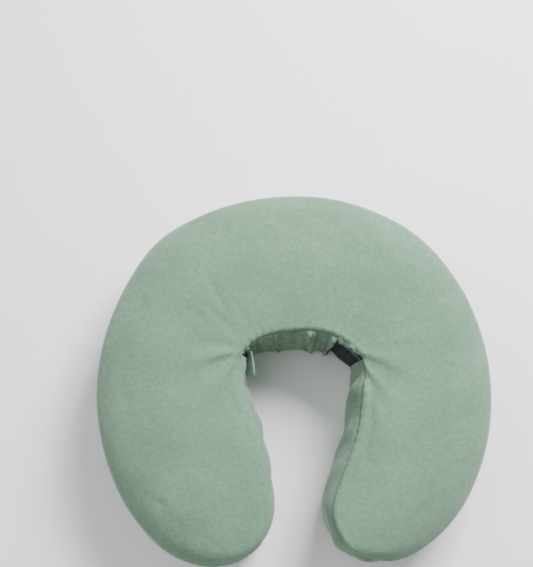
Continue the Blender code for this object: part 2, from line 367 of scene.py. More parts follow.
def foam_material(name, dark, light, cell):
    """Cut polyurethane foam: dull all over, with open cells of this size as pits."""
    made, tree, shader, place = new_material(name, 0.95)
    cells = add_node(
        tree, "ShaderNodeTexVoronoi", {"Vector": place.outputs["Object"], "Scale": 1 / cell}
    )
    tone = mottle(tree, place, 18.0)
    paint(tree, shader, product(tree, cells.outputs["Distance"], tone), dark, light, light)
    emboss(tree, shader, cells.outputs["Distance"], 0.5, 0.4 * MM)
    return made


def soften(points, faces, free, times):
    """The mesh smoothed at its free points, so that no crease is left between its zones."""
    faces = np.array(faces)
    ends = np.concatenate([faces[:, [k, (k + 1) % 4]] for k in range(4)])
    total = np.zeros_like(points)
    count = np.bincount(ends.ravel(), minlength=len(points))[:, None]
    points = points.copy()
    for _ in range(times):
        for k in range(3):
            a, b = points[ends[:, 0], k], points[ends[:, 1], k]
            total[:, k] = np.bincount(ends[:, 0], b, len(points))
            total[:, k] += np.bincount(ends[:, 1], a, len(points))
        points[free] += 0.5 * (total[free] / count[free] - points[free])
    return points


def foam_slab(name, rings, finish, swell=0.0):
    """A closed slab of foam through these rings, lowest first."""
    flat_low, flat_high = fill(rings[0]), fill(rings[-1], swell)
    points = np.concatenate([*rings, flat_low.reshape(-1, 3), flat_high.reshape(-1, 3)])
    faces = crescent_faces(len(rings), cap_low=True)
    if swell:
        points = soften(points, faces, points[:, 2] > SOFT_FROM, 34)
        points[points[:, 2] > SOFT_FROM, 2] -= FACE_GAP
    made = new_piece("cut_" + name, points, faces, finish)
    apply_modifier(made, "BEVEL", width=1.2 * MM, segments=2, limit_method="ANGLE")
    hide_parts(name)
    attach(made, "cushion")
    return made


def level_ring(height, inset):
    """The plan at one height, this far inside the cover."""
    point = PLAN.point - PLAN.normal * inset
    return np.column_stack([point, np.full(len(point), height)])


low, high = (corner.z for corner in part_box("support_foam"))
SUPPORT_FOAM = foam_material("hot_wire_cut_support_foam", "#8d8f86", "#b9bab0", 1.3 * MM)
rings = [level_ring(low + (high - low) * i / 12, FOAM_DEPTH) for i in range(13)]
foam_slab("support_foam", rings, SUPPORT_FOAM)


# ---- Memory foam -------------------------------------------------------------------------------
# The upper slab is slow-recovery foam glued on the firm one, with its top edge rounded, so that
# the face rests on a soft roll. It has finer cells and the pale yellow of that foam.

MEMORY_FOAM = foam_material("slow_recovery_memory_foam", "#b8a877", "#ddd2a6", 0.8 * MM)
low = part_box("memory_foam")[0].z
wall = TOP - PLAN.radius - low
ways = between((-wall, 8), (0 * wall, 12), (PLAN.radius * math.pi / 2, 1))
rings = [skin(ALL_ROUND, way, FOAM_DEPTH)[0] for way in ways]
foam_slab("memory_foam", rings, MEMORY_FOAM, CROWN)


# ---- Upholstery --------------------------------------------------------------------------------
# The foams are sewn into a black cover: leather-look vinyl on the face and round the outside,
# ribbed knit round the face opening, where it has to give, and brushed loop cloth underneath.
# The sewn bag is tight, so it takes the shape that a little pressure from inside gives it.

VINYL_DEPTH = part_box("cover_skirt")[1].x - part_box("outer_boxing")[1].x
VINYL_THICK = 1.2 * MM
VINYL_SEAM = -6 * MM  # the face panel turns down this far below the round edge
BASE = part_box("base_panel")[0].z
SIM_FRAMES = 20
BAG_UNDER = 0.5 * MM  # a bag reaches this far in underneath, where it is held
WAVE_TURN = 0.314  # a wave texture of this scale has one ridge in a metre


def relax(points, faces, pinned, pressure, cap):
    """The fabric after a short cloth simulation, blown out from inside. No point moves further
    than cap, none sinks into what is under it, and the pinned ones stay."""
    piece = new_piece("relaxing", points, faces, None)
    group = piece.vertex_groups.new(name="pinned")
    group.add(np.flatnonzero(pinned).tolist(), 1.0, "REPLACE")
    modifier = piece.modifiers.new("cloth", "CLOTH")
    cloth = modifier.settings
    cloth.quality = 5
    cloth.mass = 0.12
    cloth.tension_stiffness = 15
    cloth.compression_stiffness = 15
    cloth.shear_stiffness = 5
    cloth.bending_stiffness = 2
    cloth.use_pressure = True
    cloth.uniform_pressure_force = pressure
    cloth.effector_weights.gravity = 0
    cloth.vertex_group_mass = "pinned"
    modifier.collision_settings.use_collision = False
    modifier.point_cache.frame_start = 1
    modifier.point_cache.frame_end = SIM_FRAMES
    for frame_number in range(1, SIM_FRAMES + 1):
        bpy.context.scene.frame_set(frame_number)
    shape = piece.evaluated_get(bpy.context.evaluated_depsgraph_get()).to_mesh()
    out = np.array([vertex.normal[:] for vertex in piece.data.vertices])
    moved = np.empty(len(points) * 3, np.float32)
    shape.vertices.foreach_get("co", moved)
    bpy.data.objects.remove(piece)
    bpy.context.scene.frame_set(1)
    step = moved.reshape(-1, 3) - points
    length = np.linalg.norm(step, axis=1)
    limit = cap * np.tanh(length / cap) / np.maximum(length, 1e-9)
    step = step * limit[:, None]
    sunk = np.minimum(np.sum(step * out, axis=1) + 0.2 * MM, 0)
    return points + step - out * sunk[:, None]


class Bag:
    """A sewn bag over the plan, from its underside up over the top: rows of ways at each
    station, and rungs across the top. counts are its rows under, round the foot, up the wall
    and from the seam to the top."""

    def __init__(self, depth, bottom, seam, counts, pressure, cap):
        wall = wall_height(ALL_ROUND, depth, bottom)
        turn = FOOT - depth
        foot_end = -wall - turn * math.pi / 2
        self.rows = between(
            (foot_end - BAG_UNDER, counts[0]),
            (foot_end, counts[1]),
            (-wall, counts[2]),
            (seam, counts[3]),
            (PLAN.radius * math.pi / 2, 1),
        )
        self.foot_row = counts[0]
        self.wall_row = counts[0] + counts[1]
        self.seam_row = self.wall_row + counts[2]
        rings = skin(ALL_ROUND, self.rows, depth, bottom)[0]
        top = fill(rings[-1], CROWN)
        points = np.concatenate([rings.reshape(-1, 3), top.reshape(-1, 3)])
        faces = crescent_faces(len(self.rows))
        pinned = np.arange(len(points)) < (self.foot_row + 1) * STATIONS
        points = soften(points, faces, ~pinned & (points[:, 2] > SOFT_FROM), 30)
        points = relax(points, faces, pinned, pressure, cap)
        count = len(self.rows) * STATIONS
        self.rings = points[:count].reshape(len(self.rows), STATIONS, 3)
        self.top = points[count:]

    def cap(self, first_row):
        """The bag from one row up over the top, as points and faces."""
        rings = self.rings[first_row:]
        points = np.concatenate([rings.reshape(-1, 3), self.top])
        return points, crescent_faces(len(rings))


def grid_faces(rows, columns):
    """Quads over rows of stations, lowest row first, facing out of the crescent."""
    at = np.arange(rows * columns).reshape(rows, columns)
    quads = np.stack([at[:-1, :-1], at[1:, :-1], at[1:, 1:], at[:-1, 1:]], -1)
    return quads.reshape(-1, 4).tolist()


def add_uv(piece, across, along):
    """A UV map in metres: across and along are each point's place on the flat cloth."""
    layer = piece.data.uv_layers.new(name="cloth")
    corner = np.empty(len(piece.data.loops), np.int32)
    piece.data.loops.foreach_get("vertex_index", corner)
    flat = np.column_stack([np.ravel(across)[corner], np.ravel(along)[corner]])
    layer.data.foreach_set("uv", flat.astype(np.float32).ravel())


def directions(grid):
    """The direction out of a grid of points at each of them."""
    up = np.gradient(grid, axis=0)
    along = np.gradient(grid, axis=1)
    out = np.cross(up, along)
    return out / np.maximum(np.linalg.norm(out, axis=2), 1e-12)[..., None]


def tucked(grid, ways):
    """The grid with one more row: the seam allowance, turned in behind the seam."""
    rise = grid[-1] - grid[-2]
    rise /= np.linalg.norm(rise, axis=1)[:, None]
    hidden = grid[-1] + rise * 1.2 * MM - directions(grid)[-1] * 1.3 * MM
    return np.concatenate([grid, hidden[None]]), np.concatenate([ways, ways[-1:] + MM])


def sheet_strip(name, grid, stations, ways, thickness, finish):
    """A strip of cloth through a grid of points, given its thickness inwards."""
    made = new_piece(name, grid, grid_faces(*grid.shape[:2]), finish)
    walked = np.unwrap(at_station(PLAN.walked, stations % STATIONS), period=PLAN.length)
    add_uv(made, np.broadcast_to(walked, grid.shape[:2]), ways)
    apply_modifier(made, "SOLIDIFY", thickness=thickness, offset=-1)
    return made


def declare(piece, node, slot, body, flat):
    """What a sheet of cloth replaces and moves with. What it was cut from, slot and flat, is not
    used.
    """
    if node:
        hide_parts(node)
    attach(piece, body)


def seam_relief(distance, groove=0.8 * MM, roll=0.15 * MM):
    """How far cloth stands out near a seam: pulled in at the stitches, rolled up beside them."""
    away = distance / MM
    return roll * np.exp(-(((away - 3) / 2) ** 2)) - groove * np.exp(-((away / 1.1) ** 2))


def ripple(walked, pitch, seed, drift=0.0):
    """Uneven waves along a strip, from -1 to 1, with crests about pitch apart."""
    phase = np.array([noise.noise(Vector((w / pitch / 4, seed, 0))) for w in walked])
    size = np.array([noise.noise(Vector((w / pitch / 3, seed, 7))) for w in walked])
    wave = np.sin(2 * math.pi * (walked / pitch + 1.1 * phase + drift))
    return wave * (0.7 + 1.1 * size)


def vinyl_material():
    """Leather-look vinyl: black, embossed with a fine pebble grain, with a soft low gloss."""
    made, tree, shader, place = new_material("embossed_black_vinyl", 0.42)
    pebble = add_node(
        tree,
        "ShaderNodeTexVoronoi",
        {"Vector": place.outputs["Object"], "Scale": 1 / (1.1 * MM), "Smoothness": 0.6},
        feature="SMOOTH_F1",
    )
    paint(tree, shader, mottle(tree, place, 90.0), "#0d0e0f", "#17181a")
    emboss(tree, shader, pebble.outputs["Distance"], 0.45, 0.25 * MM)
    return made


def cords(tree, place, pitch, direction, distortion=0.0):
    """Round ridges along a flat cloth, this far apart."""
    inputs = {
        "Vector": place.outputs["UV"],
        "Scale": WAVE_TURN / pitch,
        "Distortion": distortion,
    }
    return add_node(
        tree, "ShaderNodeTexWave", inputs, bands_direction=direction
    ).outputs["Fac"]


def knit_material():
    """Ribbed knit: upright ribs 2.2 mm apart with a stitch every 1.4 mm, black going to
    charcoal on the ribs, where the yarn catches light."""
    made, tree, shader, place = new_material("ribbed_black_knit", 0.9, Sheen_Weight=0.04)
    ribs = cords(tree, place, 2.2 * MM, "X", 0.4)
    height = product(tree, ribs, cords(tree, place, 1.4 * MM, "Y", 0.6))
    paint(tree, shader, height, "#030304", "#131415", "#4b504d")
    emboss(tree, shader, height, 0.7, 0.7 * MM)
    return made


def loop_cloth_material():
    """Brushed loop cloth: a short fuzzy pile that hooks hold on to, so it is dull and uneven."""
    made, tree, shader, place = new_material("brushed_loop_cloth", 0.95, Sheen_Weight=0.2)
    pile = mottle(tree, place, 1 / (0.9 * MM), Detail=4.0)
    paint(tree, shader, pile, "#0c0c0d", "#2a2b2c")
    emboss(tree, shader, pile, 0.8, 0.8 * MM)
    return made


BLACK_VINYL = vinyl_material()
RIBBED_KNIT = knit_material()
LOOP_CLOTH = loop_cloth_material()
BAG = Bag(
    depth=VINYL_DEPTH,
    bottom=BASE,
    seam=np.full(STATIONS, VINYL_SEAM),
    counts=(1, 5, 18, 20),
    pressure=3.0,
    cap=1 * MM,
)

points, faces = BAG.cap(BAG.seam_row)
face_panel = new_piece("vinyl_face_panel", points, faces, BLACK_VINYL)
apply_modifier(face_panel, "SOLIDIFY", thickness=VINYL_THICK, offset=-1)
declare(
    face_panel, "face_panel", "black_upholstery", "cushion", (0.33, 0.31)
)

OPEN_CORNER = 0.5 * PLAN.length - 42 * MM  # where the cover leaves the knit bare
KNIT_BULGE = 4.5 * MM  # and the bare knit bulges out low down
FIRST_OUTER = -(QUARTER + 4)
LAST_OUTER = QUARTER + 4
for name, first, last, finish, slot, flat in (
    ("outer_boxing", FIRST_OUTER, LAST_OUTER, BLACK_VINYL, "black_upholstery", (0.83, 0.05)),
    (
        "inner_boxing",
        LAST_OUTER,
        STATIONS + FIRST_OUTER,
        RIBBED_KNIT,
        "black_ribbed_knit",
        (0.47, 0.07),
    ),
):
    stations = np.arange(first, last + 1)
    rows = BAG.rows[BAG.foot_row : BAG.seam_row + 1, stations % STATIONS]
    grid = BAG.rings[BAG.foot_row : BAG.seam_row + 1, stations % STATIONS]
    out = directions(grid)
    walked = np.unwrap(PLAN.walked[stations % STATIONS], period=PLAN.length)
    pucker = ripple(walked, 9 * MM, 3.0)[None] * np.exp((rows - VINYL_SEAM) / (9 * MM))
    relief = seam_relief(VINYL_SEAM - rows) + 0.35 * MM * pucker
    open_corner = np.exp(-(((walked - OPEN_CORNER) / (13 * MM)) ** 2))
    low_wall = ease((VINYL_SEAM - rows) / (40 * MM)) * ease(1 + 2 * out[..., 2])
    relief = relief + KNIT_BULGE * open_corner * low_wall
    made = sheet_strip(
        "sewn_" + name, grid + out * relief[..., None], stations, rows, VINYL_THICK, finish
    )
    declare(made, name, slot, "cushion", flat)

ring = BAG.rings[BAG.foot_row].copy()
ring[:, 2] = BASE
centre = fill(ring)
base_panel = new_piece(
    "loop_cloth_base",
    np.concatenate([ring, centre.reshape(-1, 3)]),
    crescent_faces(1),
    LOOP_CLOTH,
)
apply_modifier(base_panel, "SOLIDIFY", thickness=VINYL_THICK, offset=1)
declare(
    base_panel, "base_panel", "black_base_cloth", "cushion", (0.3, 0.28)
)


# ---- Hook tape ---------------------------------------------------------------------------------
# Three strips of nylon hook tape are sewn to the underside and grip the loops on the cradle. The
# tape is woven, with rows of small bent hooks and a plain border that carries the stitches.

HOOK_PITCH = 2.2 * MM
HOOK_SIZE = 0.55 * MM
HOOK_PROFILE = (
    (0, 0, 1.0),
    (0.6, 0.1, 0.8),
    (0.95, 0.5, 0.8),
    (0.8, 1.3, 0.7),
    (0.5, 1.5, 0.3),
)  # down a hook: share of its height, how far it bends aside and how thick, in hook sizes
TAPE_BORDER = 2.2 * MM
TAPE_THICK = 0.9 * MM
STITCH_MARGIN = 1.1 * MM  # the stitches run this far in from the tape's edge
FLOOR_GAP = 0.25 * MM  # between the ground and the lowest hooks and stitches
THREAD_HALF_WIDTH = 0.22 * MM
THREAD_HALF_HEIGHT = 0.28 * MM


def tape_material():
    """Woven nylon: black, slightly shiny, with a weave of 0.8 mm."""
    made, tree, shader, place = new_material("woven_nylon_hook_tape", 0.5)
    weave = add_node(
        tree,
        "ShaderNodeTexChecker",
        {"Vector": place.outputs["Object"], "Scale": 1 / (0.8 * MM)},
    )
    paint(tree, shader, mottle(tree, place, 300.0), "#08090a", "#1c1d1f")
    emboss(tree, shader, weave.outputs["Fac"], 0.3, 0.2 * MM)
    return made


def thread_material(name, dark, light):
    """Spun polyester thread: two plies that twist, so light and dark run across it."""
    made, tree, shader, place = new_material(name, 0.7)
    paint(tree, shader, mottle(tree, place, 1200.0), dark, light)
    return made


def add_tube(points, faces, rings):
    """Add a closed tube through these rings of points to the lists."""
    start, sides = len(points), len(rings[0])
    for ring in rings:
        points += ring
    for low in range(start, start + (len(rings) - 1) * sides, sides):
        for turn in range(sides):
            after = (turn + 1) % sides
            faces.append((low + turn, low + after, low + sides + after, low + sides + turn))
    faces.append(tuple(start + sides - 1 - k for k in range(sides)))
    faces.append(tuple(len(points) - sides + k for k in range(sides)))


def small_parts(name, points, faces, finish, body):
    """One mesh of many small closed parts, all of them facing outwards."""
    made = new_piece(name, points, faces, finish)
    shape = bmesh.new()
    shape.from_mesh(made.data)
    bmesh.ops.recalc_face_normals(shape, faces=shape.faces)
    shape.to_mesh(made.data)
    shape.free()
    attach(made, body)


def stitches(name, path, up, pitch, finish, body):
    """A row of lockstitches along a path: a short bead of thread for each, sunk at its ends."""
    path = np.asarray(path)
    walked = np.concatenate(
        [[0], np.cumsum(np.linalg.norm(np.diff(path, axis=0), axis=1))]
    )
    points, faces = [], []
    for i in range(int(walked[-1] / pitch)):
        ends = [(i + 0.12) * pitch, (i + 0.88) * pitch]
        a, b = (
            np.array([np.interp(e, walked, path[:, k]) for k in range(3)]) for e in ends
        )
        lift = np.array([np.interp(ends[0], walked, up[:, k]) for k in range(3)])
        along = b - a
        side = np.cross(along, lift)
        side *= THREAD_HALF_WIDTH / max(np.linalg.norm(side), 1e-12)
        lift = lift * THREAD_HALF_HEIGHT
        rings = []
        for share, size in ((0, 0.25), (0.25, 1), (0.75, 1), (1, 0.25)):
            middle = a + along * share + lift * (size - 0.6)
            turns = [math.pi * turn / 3 for turn in range(6)]
            rings.append(
                [middle + (side * math.cos(t) + lift * math.sin(t)) * size for t in turns]
            )
        add_tube(points, faces, rings)
    small_parts(name, points, faces, finish, body)


def tape_outline(place, length, width, count):
    """The stitched border of a strip, as points round it."""
    half_l, half_w = length / 2 - STITCH_MARGIN, width / 2 - STITCH_MARGIN
    corners = [(-half_l, -half_w), (half_l, -half_w), (half_l, half_w), (-half_l, half_w)]
    out = []
    for (x0, y0), (x1, y1) in zip(corners, corners[1:] + corners[:1]):
        steps = count if x0 != x1 else 6
        for i in range(steps):
            out.append(place(x0 + (x1 - x0) * i / steps, y0 + (y1 - y0) * i / steps))
    return np.array([*out, out[0]])


def hook_strip(name, place, length, width):
    """Tape with its rows of hooks. place(along, across) gives the point on the underside."""
    low, high = (corner.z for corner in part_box(name))
    steps_l, steps_w = int(length / (3 * MM)), 8
    along = np.linspace(-length / 2, length / 2, steps_l + 1)
    across = np.linspace(-width / 2, width / 2, steps_w + 1)
    grid = np.array([[(*place(a, c), high - TAPE_THICK) for a in along] for c in across])
    tape = new_piece("woven_" + name, grid, grid_faces(*grid.shape[:2]), HOOK_TAPE)
    apply_modifier(tape, "SOLIDIFY", thickness=TAPE_THICK, offset=-1)
    points, faces = [], []
    reach = high - TAPE_THICK - low - FLOOR_GAP
    corners = [math.pi * (turn / 2 + 0.25) for turn in range(4)]
    spreads = [Vector((math.cos(c), math.sin(c), 0)) * HOOK_SIZE / 2 for c in corners]
    for a in np.arange(-length / 2 + TAPE_BORDER, length / 2 - TAPE_BORDER, HOOK_PITCH):
        for c in np.arange(-width / 2 + TAPE_BORDER, width / 2 - TAPE_BORDER, HOOK_PITCH):
            foot = Vector((*place(a, c), high - TAPE_THICK))
            aside = (Vector((*place(a + MM, c), 0)) - Vector((*place(a, c), 0))).normalized()
            lean = 1 if round(c / HOOK_PITCH) % 2 else -1
            rings = []
            for drop, shift, size in HOOK_PROFILE:
                middle = foot + aside * lean * shift * HOOK_SIZE
                middle.z -= drop * reach
                rings.append([(middle + spread * size)[:] for spread in spreads])
            add_tube(points, faces, rings)
    small_parts(name + "_hooks", points, faces, HOOK_TAPE, "cushion")
    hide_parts(name)
    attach(tape, "cushion")
    edge = tape_outline(lambda a, c: (*place(a, c), high - TAPE_THICK), length, width, 40)
    up = np.tile([0.0, 0.0, -1.0], (len(edge), 1))
    stitches(name + "_stitches", edge, up, 2.6 * MM, BLACK_THREAD, "cushion")


HOOK_TAPE = tape_material()
BLACK_THREAD = thread_material("spun_black_thread", "#1b1c1e", "#3a3c3f")
CROWN_RADIUS = 100 * MM
CROWN_TAPE_ANGLE = math.radians(68)
TAPE_WIDTH = 25 * MM
ARM_TURN = math.radians(14)
ARM_TAPE_LENGTH = 90 * MM
crown_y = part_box("hook_strip_crown")[1].y - TAPE_WIDTH / 2


def crown_place(along, across):
    """Where a place on the crown's strip lies on the underside."""
    angle = along / CROWN_RADIUS
    radius = CROWN_RADIUS + across
    return radius * math.sin(angle), crown_y - CROWN_RADIUS + radius * math.cos(angle)


def arm_place(middle, turn):
    """The same for a strip on an arm, round its middle and turned to follow the arm."""

    def place(along, across):
        x = middle.x - math.sin(turn) * along + math.cos(turn) * across
        y = middle.y + math.cos(turn) * along + math.sin(turn) * across
        return x, y

    return place


hook_strip("hook_strip_crown", crown_place, CROWN_TAPE_ANGLE * CROWN_RADIUS, TAPE_WIDTH)
for name, turn in (("hook_strip_right", -ARM_TURN), ("hook_strip_left", ARM_TURN)):
    place = arm_place(sum(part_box(name), Vector()) / 2, turn)
    hook_strip(name, place, ARM_TAPE_LENGTH, TAPE_WIDTH)


# ---- Cover: top panel --------------------------------------------------------------------------
# The cover is double-brushed cotton flannel, sage green, washed until its nap has begun to pill.
# The top panel turns down over the outside by a third of the height, and is caught by its inner
# seam up on the round edge of the face opening, where the two inner corners pull folds into it.

FLANNEL = 1.1 * MM
OUTER_SEAM = -8 * MM
INNER_SEAM = 10 * MM
SEAM_TWIST = 2.7 * MM  # the seam lies further in on the right arm, and less on the left


def flannel_material():
    """Double-brushed flannel: no gloss, a soft sheen from the raised fibres, which clump into a
    mottle about 3 mm across with finer fuzz over it."""
    made, tree, shader, place = new_material(
        "double_brushed_sage_flannel",
        0.95,
        Sheen_Weight=0.25,
        Sheen_Roughness=0.6,
        Specular_IOR_Level=0.2,
    )
    clumps = mottle(tree, place, 1 / (3.2 * MM), Detail=3.0, Roughness=0.65)
    fuzz = mottle(tree, place, 1 / (0.9 * MM), Detail=2.0)
    wash = mottle(tree, place, 1 / (45 * MM), Detail=2.0)
    nap = add_node(
        tree, "ShaderNodeMixRGB", {"Fac": 0.35, "Color1": clumps, "Color2": fuzz}
    ).outputs["Color"]
    tone = add_node(tree, "ShaderNodeMixRGB", {"Fac": 0.3, "Color1": nap, "Color2": wash})
    paint(tree, shader, tone.outputs["Color"], "#33503c", "#5f8069", "#86a48f")
    emboss(tree, shader, nap, 0.5, 0.9 * MM)
    return made


SAGE_FLANNEL = flannel_material()
side_lean = np.clip(PLAN.point[:, 0] / (40 * MM), -1, 1)
inner_way = INNER_SEAM + SEAM_TWIST * side_lean
SEAM_WAY = OUTER_SEAM + (inner_way - OUTER_SEAM) * PLAN.inner
COVER = Bag(
    depth=0.0, bottom=0.0, seam=SEAM_WAY, counts=(1, 6, 30, 18), pressure=4.0, cap=2.5 * MM
)

# Each fold: where it starts, its heading in degrees, its length, width and height in mm.
RIGHT_CORNER = (46, 16)
LEFT_CORNER = (-42, 19)
PULL_FOLDS = (
    (RIGHT_CORNER, -38, 78, 8.5, -4.2),
    (RIGHT_CORNER, -51, 62, 5.0, 3.6),
    (RIGHT_CORNER, -63, 60, 3.8, -3.4),
    (RIGHT_CORNER, -76, 54, 3.8, 2.8),
    (RIGHT_CORNER, -20, 56, 8.5, 3.0),
    (RIGHT_CORNER, 60, 26, 6.0, -1.0),
    (LEFT_CORNER, 214, 66, 8.5, -4.0),
    (LEFT_CORNER, 190, 58, 6.5, 3.8),
    (LEFT_CORNER, 235, 56, 6.5, 3.2),
    (LEFT_CORNER, 165, 46, 6.0, -1.6),
    (LEFT_CORNER, 254, 46, 4.5, -1.8),
)
VALLEY = 0.9 * MM  # deeper, and a fold would meet the vinyl


def pull_folds(points):
    """How far the top stands up or down for the folds that the inner corners pull into it."""
    height = np.zeros(len(points))
    for (x, y), heading, length, width, size in PULL_FOLDS:
        way = points[:, :2] / MM - (x, y)
        angle = math.radians(heading)
        along = way @ (math.cos(angle), math.sin(angle))
        aside = way @ (-math.sin(angle), math.cos(angle))
        spread = width * (0.35 + np.clip(along, 0, None) / length)
        fade = ease(along / (0.18 * length)) * (1 - ease(along / length))
        height += size * MM * fade * np.exp(-((aside / spread) ** 2))
    return np.where(height < 0, VALLEY * np.tanh(height / VALLEY), height)


def lumps(points, size, seed):
    """A soft unevenness from -1 to 1, this far across."""
    spots = points / size
    return np.array([noise.noise(Vector((*spot[:2], spot[2] + seed))) for spot in spots])


points, faces = COVER.cap(COVER.seam_row)
upper_rows = COVER.rows[COVER.seam_row :]
beyond = np.concatenate(
    [(upper_rows - SEAM_WAY).ravel(), np.full(len(points) - upper_rows.size, 1.0)]
)
pucker = np.zeros(len(points))
seam_waves = ripple(PLAN.walked, 7 * MM, 11.0) * np.exp(-(upper_rows - SEAM_WAY) / (7 * MM))
pucker[: upper_rows.size] = seam_waves.ravel()
panel = new_piece("flannel_top_panel", points, faces, SAGE_FLANNEL)
normal = np.array([vertex.normal[:] for vertex in panel.data.vertices])
share = np.ones(len(points))
share[: upper_rows.size] = np.tile(PLAN.inner, len(upper_rows))
stand = seam_relief(beyond, 0.7 * MM, 0.3 * MM) * (1 - share) + 0.3 * MM * pucker
stand += 0.6 * MM * share * np.exp(-((beyond / (2 * MM)) ** 2))
stand += 0.35 * MM * lumps(points, 30 * MM, 4.0)
points = points + normal * stand[:, None]
points[:, 2] += pull_folds(points)
panel.data.vertices.foreach_set("co", points.astype(np.float32).ravel())
apply_modifier(panel, "SOLIDIFY", thickness=FLANNEL, offset=-1)
declare(
    panel, "cover_top_panel", "sage_flannel", "cover", (0.345, 0.325)
)


# ---- Cover: skirt ------------------------------------------------------------------------------
# One strip of flannel runs from corner to corner round the outside and both arms. It is cut
# longer than the seam and eased into it, and the hem's elastic gathers it further, so soft folds
# lean across it and deepen towards the bottom.

ARCH_RIGHT = 0.5 * PLAN.length - 31 * MM  # the arch band's ends
ARCH_LEFT = 0.5 * PLAN.length + 46 * MM
SKIRT_START = -0.5 * PLAN.length + 47.5 * MM  # and the skirt's: it leaves the right corner open
SKIRT_END = 0.5 * PLAN.length - 54 * MM


def station_at(walked):
    """The station at this distance round the plan, between two stations if need be."""
    turns, rest = divmod(walked, PLAN.length)
    track = np.append(PLAN.walked, PLAN.length)
    return turns * STATIONS + np.interp(rest, track, np.arange(STATIONS + 1))


def read_rows(rings, stations):
    """Rings of the bag read at stations that may lie between two of them."""
    return np.stack([at_station(ring, stations) for ring in rings])


def side_strip(first, last, step):
    """The bag's side from foot to seam between two places: stations, ways and points."""
    count = int(round((last - first) / step))
    walked = np.linspace(first, last, count + 1)
    stations = np.array([station_at(w) for w in walked])
    rows = slice(COVER.foot_row, COVER.seam_row + 1)
    ways = read_rows(COVER.rows[rows], stations)
    return walked, stations, ways, read_rows(COVER.rings[rows], stations)


SINK = 0.5 * MM  # cloth can only sink so far before it meets the vinyl
SOFT_FOLD = 2.3 * MM  # leaning folds, fullest half way down
HEM_GATHER = 1.9 * MM  # short folds that the hem's elastic draws up
SEAM_EASE = 0.45 * MM  # puckers where the skirt is eased into the seam
FLARE = 4.5 * MM  # the skirt's free end curls out this far at the left inner corner
LOWEST = 0.3 * MM  # no cloth comes nearer to the ground


def gathers(walked, drop, strength):
    """How far gathered cloth stands out: drop is 0 at the seam and 1 at the hem."""
    lean = 0.9 * drop
    hem = np.stack([ripple(walked, 9 * MM, 21.0, 0.5 * d) for d in lean])
    folds = np.stack([ripple(walked, 31 * MM, 22.0, d) for d in lean])
    ease_in = np.stack([ripple(walked, 6.5 * MM, 23.0) for d in lean])
    depth = drop[:, None]
    soft = folds * np.sin(math.pi * depth**0.8) * SOFT_FOLD
    tight = hem * depth**2.5 * HEM_GATHER
    puckers = ease_in * np.exp(-depth / 0.12) * SEAM_EASE
    stand = soft + strength * (tight + puckers)
    return np.where(stand < 0, -SINK * np.tanh(-stand / SINK), stand)


walked, stations, ways, grid = side_strip(SKIRT_START, SKIRT_END, 2 * MM)
drop = np.linspace(1, 0, len(grid))
below = at_station(SEAM_WAY, stations) - ways
inside = at_station(PLAN.inner, stations)
stand = gathers(walked, drop, 1 - 0.75 * inside) + seam_relief(below) * (1 - inside)
stand -= 0.7 * MM * inside * np.exp(-((below / (2.5 * MM)) ** 2))
flare = np.exp(-(((walked - SKIRT_START - 6 * MM) / (9 * MM)) ** 2))
stand += FLARE * flare * ease(below / (9 * MM)) * ease(3 * drop)[:, None]
grid = grid + directions(grid) * stand[..., None]
grid[..., 2] = np.maximum(grid[..., 2], LOWEST)
grid, ways = tucked(grid, ways)
skirt = sheet_strip("flannel_skirt", grid, stations, ways, FLANNEL, SAGE_FLANNEL)
declare(skirt, "cover_skirt", "sage_flannel", "cover", (1.32, 0.072))


# ---- Cover: hem casing and its elastic ---------------------------------------------------------
# The skirt's edge is turned under and folded back over a braided elastic, then stitched along
# the fold's edge. The elastic draws it up, so the casing lies in short radial folds.

HEM_TURN = 20 * MM
HEM_FOLD = 15 * MM
HEM_LAYER = 0.8 * MM
HEM_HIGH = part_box("hem_casing")[1].z
ELASTIC_WIDTH = 12 * MM
ELASTIC_THICK = 0.7 * MM


def elastic_material():
    """Braided elastic: off-white, with cords that run along it 1.2 mm apart."""
    made, tree, shader, place = new_material("braided_white_elastic", 0.75)
    ridges = cords(tree, place, 1.2 * MM, "Y")
    height = product(tree, ridges, cords(tree, place, 1.6 * MM, "DIAGONAL", 1.5))
    paint(tree, shader, height, "#c3c2b9", "#efeee6")
    emboss(tree, shader, height, 0.5, 0.3 * MM)
    return made


WHITE_ELASTIC = elastic_material()
SAGE_THREAD = thread_material("spun_sage_thread", "#6d8676", "#93ab9a")


def hem_grid(walked, insets, heights, shift):
    """Rows at these insets and heights along the plan, thrown into short radial folds."""
    stations = np.array([station_at(w) for w in walked])
    point = at_station(PLAN.point, stations)
    outward = at_station(PLAN.normal, stations)
    folds = ripple(walked, 8 * MM, 21.0, 0.45)
    rows = []
    for inset, height in zip(insets, heights):
        deep = np.clip(inset / HEM_TURN, 0, 1)
        out = -(inset + 0.9 * MM * folds * deep) + shift
        place = point + outward * np.reshape(out, (-1, 1))
        lift = height + 0.55 * MM * (1 + folds) * deep
        rows.append(np.column_stack([place, lift]))
    return stations, np.array(rows)


